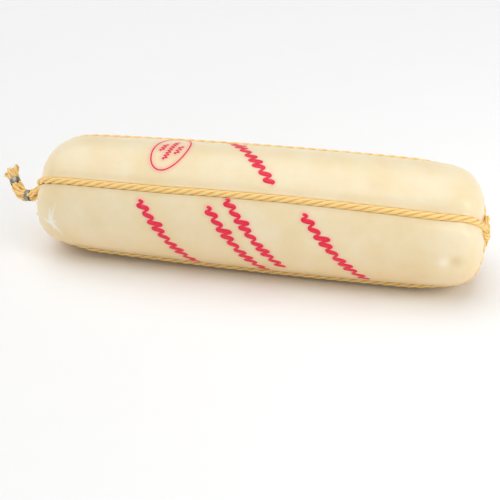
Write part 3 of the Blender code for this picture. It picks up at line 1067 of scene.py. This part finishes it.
def tail_run(name):
    """One cord through the tail, from the cheese out to its cut end."""
    radii = BUNDLE_RADIUS + (CLIPPED_RADIUS - BUNDLE_RADIUS) * squeeze()
    offset = (radii * sqrt(2) * BUNDLE_PACKING)[:, None]
    share = np.linspace(0, 1, len(MIDDLE))
    turn = CORD_ANGLES[name] + BUNDLE_TWIST * np.sin(pi * smoothstep(share, BUNDLE_TWIST_FROM, 1.0))
    out = np.cos(turn)[:, None] * MIDDLE_SIDE + np.sin(turn)[:, None] * MIDDLE_OTHER
    route = MIDDLE + offset * out
    end = route[-1]
    leave = unit(end - route[-3])
    cut = np.array(CUT_ENDS[name])
    reach = np.linalg.norm(cut - end)
    t = np.linspace(0, 1, FAN_STEPS)[1:, None]
    fan = end + leave * reach * t + (cut - end - leave * reach) * t * t
    radii = np.concatenate([radii, np.full(len(fan), CUT_END_RADIUS)])
    return np.vstack([route, fan]), radii


def bend(start, start_along, end, end_along):
    """A smooth turn from one place and direction to another."""
    t = np.linspace(0, 1, BEND_POINTS + 2)[1:-1][:, None]
    from_start = 2 * t ** 3 - 3 * t ** 2 + 1
    leaving = t ** 3 - 2 * t ** 2 + t
    to_end = -2 * t ** 3 + 3 * t ** 2
    arriving = t ** 3 - t ** 2
    turns = leaving * start_along + arriving * end_along
    return from_start * start + to_end * end + BEND_REACH * turns


def make_cord(name, phase):
    """One cord from its cut end, through the tail and along the log to the knot."""
    run = run_along_log(name)
    tail, tail_radii = tail_run(name)
    turned = bend(tail[0], unit(tail[0] - tail[1]), run[0], unit(run[1] - run[0]))
    swelling = np.linspace(tail_radii[0], CORD_RADIUS, len(turned) + 2)[1:-1]
    route = np.vstack([tail[::-1], turned, run])
    radii = np.concatenate([tail_radii[::-1], swelling, np.full(len(run), CORD_RADIUS)])
    rope(name + "_rope", route, radii, (0, -1, 0.1), [name], phase, CORD_SPLAY)


def make_fray():
    """Short loose fibres standing out of the four cut ends."""
    rng = np.random.default_rng(FRAY_SEED)
    points, faces = [], []
    t = np.linspace(0, 1, FIBRE_STATIONS)[:, None]
    for name in CORD_ANGLES:
        route, _ = tail_run(name)
        along, side, other = carried_frame(route, TAIL_SIDE)
        end, ahead, a, b = route[-1], along[-1], side[-1], other[-1]
        for _ in range(FIBRES):
            turn = rng.uniform(0, 2 * pi)
            radial = cos(turn) * a + sin(turn) * b
            root = end + radial * BUNDLE_RADIUS * FIBRE_SPREAD * sqrt(rng.uniform(0, 1))
            root = root - ahead * FIBRE_SET_BACK
            lean = rng.uniform(*FIBRE_LEAN)
            length = rng.uniform(*FIBRE_LENGTH)
            curl = rng.normal(0, FIBRE_CURL, 3)
            line = root + length * t * (ahead + lean * radial * t + curl * t * t)
            faces += tube_faces(FIBRE_STATIONS, FIBRE_SIDES, len(points))
            for place, wide in zip(line, FIBRE_RADIUS * (FIBRE_TAPER - t[:, 0])):
                for k in range(FIBRE_SIDES):
                    spin = 2 * pi * k / FIBRE_SIDES
                    points.append(place + wide * (cos(spin) * a + sin(spin) * b))
    piece = add_piece("cord_fray", points, faces, ROPE)
    add_field(piece, "fibre", np.asarray(points) * MM, *VECTOR)
    add_field(piece, "painted_crevice_shade", np.zeros(len(points)))


# ------------------------------------------------
# The knot: turns of cord wound round the crossing, a small bow above them and
# a loose end below. Routes are (away from the end of the log, y, z).
# ------------------------------------------------
WRAP_TURNS = 2.9
WRAP_START = -0.6 * pi
WRAP_POINTS = 90
WRAP_RADIUS = 0.0026
WRAP_TOP = 0.0040
WRAP_FALL = 0.0135
WRAP_WOBBLE = 0.0011
WRAP_OFFSET = 0.0006
WRAP_WIDE = (0.0050, 0.0010)
WRAP_DEEP = (0.0024, 0.0006)
BOW_ROUTE = [
    (0.0006, -0.0060, 0.0040),
    (0.0012, -0.0052, 0.0085),
    (0.0016, -0.0022, 0.0122),
    (0.0020, 0.0022, 0.0116),
    (0.0022, 0.0042, 0.0082),
    (0.0010, 0.0040, 0.0040),
]
BOW_RADIUS = 0.0020
LOOSE_END_ROUTE = [
    (0.0018, 0.0000, -0.0060),
    (0.0040, -0.0014, -0.0094),
    (0.0034, -0.0020, -0.0132),
    (0.0026, -0.0018, -0.0172),
]
LOOSE_END_RADII = (0.0021, 0.0014)


def wrap_route():
    """The turns of the wrapping, down over the crossing of the cords."""
    face = LENGTH / 2
    t = np.linspace(0, 1, WRAP_POINTS)
    turn = 2 * pi * WRAP_TURNS * t + WRAP_START
    z = WRAP_TOP - WRAP_FALL * t + WRAP_WOBBLE * np.sin(2 * turn)
    wide = WRAP_WIDE[0] + WRAP_WIDE[1] * t
    deep = WRAP_DEEP[0] + WRAP_DEEP[1] * t
    x = face + WRAP_OFFSET + deep * np.cos(turn) - SLUMP / RADIUS * z * face
    return np.stack([x, wide * np.sin(turn) - WRAP_OFFSET, z], axis=-1)


def make_knot():
    """The wrapping, the bow and the loose end, each its own length of rope."""
    at_face = np.array([LENGTH / 2, 0, 0])
    wraps = wrap_route()
    bow = smooth_route(BOW_ROUTE + at_face)
    loose = smooth_route(LOOSE_END_ROUTE + at_face)
    thin = np.linspace(*LOOSE_END_RADII, len(loose))
    rope("knot_wraps", wraps, np.full(len(wraps), WRAP_RADIUS), (0, 0, 1), ["knot"], 0.4)
    rope("knot_bow", bow, np.full(len(bow), BOW_RADIUS), (1, 0, 0), [], 1.1)
    rope("knot_end", loose[::-1], thin[::-1], (1, 0, 0), [], 0.2, splay=0.5)


# ------------------------------------------------
# The steel clips
# ------------------------------------------------
def band_section():
    """The band's section, with rounded corners: (outwards, along the bundle)."""
    half, thick, soft = CLIP_WIDTH / 2, CLIP_THICKNESS, CLIP_EDGE
    corners = [
        (thick - soft, -half + soft, -pi / 2),
        (thick - soft, half - soft, 0),
        (soft, half - soft, pi / 2),
        (soft, -half + soft, pi),
    ]
    section = []
    for out, shift, begin in corners:
        for k in range(4):
            turn = begin + pi / 2 * k / 3
            section.append((out + soft * cos(turn), shift + soft * sin(turn)))
    return section


def make_clip(name, node, clip, seam):
    """A band bent round the bundle, its two ends lapped one over the other."""
    section = band_section()
    sweep = 2 * pi + CLIP_LAP
    points = []
    for share in np.linspace(0, 1, CLIP_ROWS):
        turn = seam + share * sweep
        over = smoothstep(share, 1 - 1.7 * CLIP_LAP / sweep, 1 - 0.9 * CLIP_LAP / sweep)
        squash = 1 + CLIP_OVAL * cos(2 * (turn - seam)) + CLIP_UNEVEN * cos(3 * turn + 1.0)
        ends = smoothstep(share, CLIP_END, 1.0) + smoothstep(1 - share, CLIP_END, 1.0)
        radial = cos(turn) * MIDDLE_SIDE[clip] + sin(turn) * MIDDLE_OTHER[clip]
        inside = CLIP_RADIUS * squash - CLIP_THICKNESS + over * (CLIP_THICKNESS + CLIP_LAP_GAP)
        for out, shift in section:
            across = shift * (1 - CLIP_PINCH * ends) * MIDDLE_ALONG[clip]
            points.append(MIDDLE[clip] + (inside + out) * radial + across)
    faces = [tuple(reversed(face)) for face in tube_faces(CLIP_ROWS, len(section))]
    add_piece(name, points, faces, STEEL, [node])


# ------------------------------------------------
# Build the object
# ------------------------------------------------
STROKES = all_strokes()
make_cheese(STROKES)
make_print(STROKES)
for number, cord_name in enumerate(CORD_ANGLES):
    make_cord(cord_name, PHASE_STEP * number)
make_fray()
make_knot()
make_clip("clip_inner_band", "clip_inner", CLIPS[0], CLIP_SEAMS[0])
make_clip("clip_outer_band", "clip_outer", CLIPS[1], CLIP_SEAMS[1])


# ------------------------------------------------
# Floor, light and camera
# ------------------------------------------------
FLOOR_HALF = 30.0

# The room's brightness level with the floor and overhead, and where one turns into the other.
ROOM_LEVEL = 0.84
ROOM_OVERHEAD = 0.38
ROOM_TURN = (0.08, 0.38)

OVERHEAD_TOWARD = (-0.34, 0.04, 1.0)
OVERHEAD_STRENGTH = 1.70
OVERHEAD_SPREAD = radians(75)
SIDE_PLACE = (1.02, -0.28, 0.55)
SIDE_TARGET = (0.20, 0.0, 0.06)
SIDE_SIZE = (0.27, 0.64)
SIDE_POWER = 3.3

# The camera: how far it is turned and raised, its distance, and how far it is moved
# sideways and upwards.
VIEW_TURN = radians(11.578)
VIEW_RISE = radians(30)
VIEW_DISTANCE = 0.97798
VIEW_SHIFT = (-0.00724, -0.04143)
VIEW_LENS = 72.0
VIEW_SENSOR = 36.0


def add_object(name, data):
    """A new object in the scene."""
    made = bpy.data.objects.new(name, data)
    bpy.context.scene.collection.objects.link(made)
    return made


def make_floor():
    """A plain floor, level with the underside of the CAD."""
    size = FLOOR_HALF
    corners = [(-size, -size, 0), (size, -size, 0), (size, size, 0), (-size, size, 0)]
    mesh = bpy.data.meshes.new("floor")
    mesh.from_pydata(corners, [], [(0, 1, 2, 3)])
    mesh.materials.append(floor_material())
    floor = add_object("floor", mesh)
    floor.location.z = min(cad_low.z, 0.0)


def make_world():
    """A pale room: brightest level with the floor, dimmer overhead."""
    world = bpy.data.worlds.new("studio")
    world.use_nodes = True
    nodes, links = world.node_tree.nodes, world.node_tree.links
    split = nodes.new("ShaderNodeSeparateXYZ")
    ramp = nodes.new("ShaderNodeValToRGB")
    ramp.color_ramp.interpolation = "EASE"
    for end, place, bright in zip(ramp.color_ramp.elements, ROOM_TURN, (ROOM_LEVEL, ROOM_OVERHEAD)):
        end.position = place
        end.color = (bright, bright, bright, 1.0)
    links.new(nodes.new("ShaderNodeTexCoord").outputs["Generated"], split.inputs[0])
    links.new(split.outputs["Z"], ramp.inputs[0])
    links.new(ramp.outputs[0], nodes["Background"].inputs["Color"])
    bpy.context.scene.world = world


def wide_light(name, toward, strength, spread):
    """A sun so wide that it works as a big softbox overhead."""
    data = bpy.data.lights.new(name, "SUN")
    data.energy = strength
    data.angle = spread
    light = add_object(name, data)
    light.rotation_euler = Vector(toward).to_track_quat("Z", "Y").to_euler()


def area_light(name, place, target, size, power):
    """A rectangular softbox aimed at a place."""
    data = bpy.data.lights.new(name, "AREA")
    data.shape = "RECTANGLE"
    data.size, data.size_y = size
    data.energy = power
    light = add_object(name, data)
    light.location = place
    aim = Vector(target) - Vector(place)
    light.rotation_euler = aim.to_track_quat("-Z", "Y").to_euler()


def make_camera():
    """The camera, aimed past the middle of the log."""
    right = Vector((cos(VIEW_TURN), sin(VIEW_TURN), 0))
    level = cos(VIEW_RISE)
    back = Vector((sin(VIEW_TURN) * level, -cos(VIEW_TURN) * level, sin(VIEW_RISE)))
    up = back.cross(right)
    data = bpy.data.cameras.new("camera")
    data.sensor_width = VIEW_SENSOR
    data.lens = VIEW_LENS
    camera = add_object("camera", data)
    place = Vector(ORIGIN) + back * VIEW_DISTANCE + right * VIEW_SHIFT[0] + up * VIEW_SHIFT[1]
    turn = Matrix((right, up, back)).transposed().to_4x4()
    camera.matrix_world = Matrix.Translation(place) @ turn
    bpy.context.scene.camera = camera


make_floor()
make_world()
wide_light("overhead", OVERHEAD_TOWARD, OVERHEAD_STRENGTH, OVERHEAD_SPREAD)
area_light("side", SIDE_PLACE, SIDE_TARGET, SIDE_SIZE, SIDE_POWER)
make_camera()
bpy.context.scene.view_settings.view_transform = "Standard"
